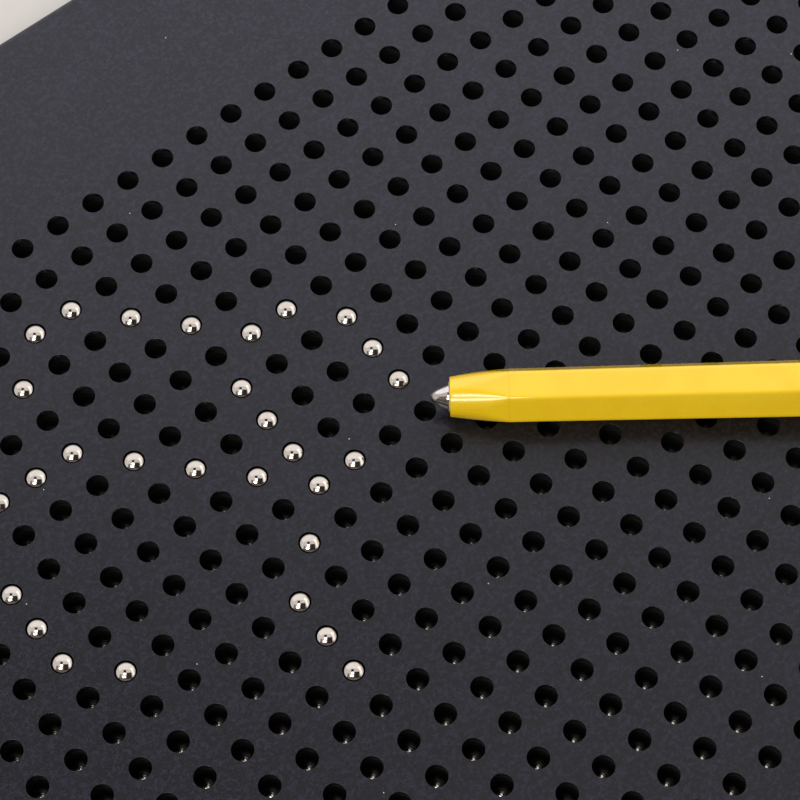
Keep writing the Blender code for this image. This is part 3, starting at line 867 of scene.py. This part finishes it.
# right and up are degrees from the line between board and camera, and wide and high are half angles;
# the far softbox and its glow whiten the board and the balls, the right one edges the balls, the two
# lamps are the small bright windows on the balls and the stylus, and the flagged ones even out the light
lightLook = {
    "farSoftbox": {"right": 0, "up": 78, "distance": 0.9, "wide": 55, "high": 30,
                   "radiance": 0.24, "colour": "#F6F2F2"},
    "rightSoftbox": {"right": 64, "up": 24, "distance": 0.9, "wide": 10, "high": 30,
                     "radiance": 0.45, "colour": "#FFFBF6"},
    "lampUpper": {"right": -11, "up": 6, "distance": 0.9, "wide": 8.5, "high": 5,
                  "radiance": 9.0, "colour": "#FFFBF6"},
    "lampLower": {"right": -20, "up": -17, "distance": 0.9, "wide": 11, "high": 5.5,
                  "radiance": 8.8, "colour": "#FFFBF6"},
    "farGlow": {"right": 0, "up": 78, "distance": 0.96, "wide": 55, "high": 30,
                "radiance": 0.43, "colour": "#EBEDFF"},
    "boardSoftbox": {"right": 0, "up": 72, "distance": 0.42, "wide": 16, "high": 10,
                     "radiance": 14.0, "colour": "#E4E6FF"},
    "stylusSoftbox": {"right": 0, "up": 72, "distance": 0.42, "wide": 16, "high": 10,
                      "radiance": 2.9, "colour": "#F4F4FF"},
}
# flagged lights: the starts of the piece names that each one lights, and whether reflections show it
flagLook = {
    "farGlow": (("front_cover", "stylus"), True),
    "boardSoftbox": (("front_cover",), False),
    "stylusSoftbox": (("stylus",), False),
}

cardLook = {
    "rightCard": {"right": 25, "up": -7, "distance": 1.0, "wide": 23, "high": 25, "colour": "#2A2524"},
    "spotCard": {"right": -13, "up": 30, "distance": 1.0, "wide": 11, "high": 10, "colour": "#1A1818"},
    "leftCard": {"right": -46, "up": -10, "distance": 1.0, "wide": 9, "high": 14, "colour": "#8A827C"},
    "frontCard": {"right": 0, "up": -54, "distance": 1.1, "wide": 60, "high": 31, "colour": "#6E6864"},
}


def makeFloor():
    # background paper: matt, with fine fibres and a faint cloudiness
    look = stageLook
    made, tree, place = newMaterial("paperFloor")
    fibres = addNode(tree, "ShaderNodeTexNoise", {"Scale": 1 / (1.2 * mm), "Detail": 4.0}, {"Vector": place})
    clouds = addNode(tree, "ShaderNodeTexNoise", {"Scale": 1 / (350 * mm), "Detail": 2.0}, {"Vector": place})
    bump = addNode(tree, "ShaderNodeBump", {"Strength": 0.3, "Distance": 0.05 * mm},
                   {"Height": fibres.outputs[0]})
    tint = addNode(tree, "ShaderNodeMix",
                   {"data_type": "RGBA", 6: srgb(look["floorColour"]), 7: srgb(look["floorLighter"])},
                   {0: clouds.outputs[0]})
    closeMaterial(tree, {"Roughness": 0.9}, {"Base Color": tint.outputs[2], "Normal": bump.outputs[0]})
    place = Matrix.Translation((0, 0, -look["floorGap"]))
    addPlane("floor", place, look["floorSize"], look["floorSize"], made)


def addPlane(name, place, width, height, surface):
    bm = bmesh.new()
    bmesh.ops.create_grid(bm, x_segments=1, y_segments=1, size=0.5,
                          matrix=place @ Matrix.Diagonal((width, height, 1, 1)))
    mesh = bpy.data.meshes.new(name)
    bm.to_mesh(mesh)
    bm.free()
    mesh.materials.append(surface)
    plane = bpy.data.objects.new(name, mesh)
    bpy.context.scene.collection.objects.link(plane)
    return plane


def makeWorld():
    world = bpy.data.worlds.new("paleStudio")
    world.use_nodes = True
    tree = world.node_tree
    tree.nodes.clear()
    back = addNode(tree, "ShaderNodeBackground",
                   {"Color": srgb(stageLook["worldColour"]), "Strength": stageLook["worldStrength"]})
    addNode(tree, "ShaderNodeOutputWorld", links={"Surface": back.outputs[0]})
    bpy.context.scene.world = world


def makeCamera():
    look = stageLook
    data = bpy.data.cameras.new("camera")
    data.lens, data.sensor_width = look["lens"], 36.0
    data.clip_start, data.clip_end = 0.01, 50.0
    camera = bpy.data.objects.new("camera", data)
    place = Vector(look["cameraAt"]) + Vector((0, 0, faceTop))
    target = Vector(look["lookAt"]) + Vector((0, 0, faceTop))
    level = (target - place).to_track_quat("-Z", "Y").to_matrix().to_4x4()
    roll = Matrix.Rotation(math.radians(look["roll"]), 4, "Z")
    camera.matrix_world = Matrix.Translation(place) @ level @ roll
    bpy.context.scene.collection.objects.link(camera)
    bpy.context.scene.camera = camera
    return Matrix.Translation(target) @ level


def facingPlace(sight, look):
    # a place round the board that faces it, and the width and height that fill the half angles from there
    swing = Matrix.Rotation(math.radians(look["right"]), 4, "Y")
    tilt = Matrix.Rotation(-math.radians(look["up"]), 4, "X")
    reach = 2 * look["distance"]
    size = [reach * math.tan(math.radians(look[side])) for side in ("wide", "high")]
    return sight @ swing @ tilt @ Matrix.Translation((0, 0, look["distance"])), size


def addLights(sight):
    for name, look in lightLook.items():
        place, size = facingPlace(sight, look)
        data = bpy.data.lights.new(name, "AREA")
        data.shape = "RECTANGLE"
        data.size, data.size_y = size
        data.energy = look["radiance"] * math.pi * size[0] * size[1]
        data.color = srgb(look["colour"])[:3]
        lamp = bpy.data.objects.new(name, data)
        lamp.matrix_world = place
        bpy.context.scene.collection.objects.link(lamp)
    for name, (wanted, mirrored) in flagLook.items():
        lit = bpy.data.collections.new(name + "Only")
        for item in bpy.data.objects:
            if item.type == "MESH" and item.name.startswith(wanted):
                lit.objects.link(item)
        bpy.data.objects[name].light_linking.receiver_collection = lit
        bpy.data.objects[name].visible_glossy = mirrored


def addCards(sight):
    # dark and grey boards round the studio, which only reflections show
    for name, look in cardLook.items():
        place, size = facingPlace(sight, look)
        made, tree, _ = newMaterial(name)
        closeMaterial(tree, {"Base Color": srgb(look["colour"]), "Roughness": 0.9}, {})
        card = addPlane(name, place, size[0], size[1], made)
        card.visible_camera = card.visible_diffuse = card.visible_shadow = False


makeFloor()
makeWorld()
sight = makeCamera()
addLights(sight)
addCards(sight)
bpy.context.scene.view_settings.view_transform = "Standard"
print("stage set")
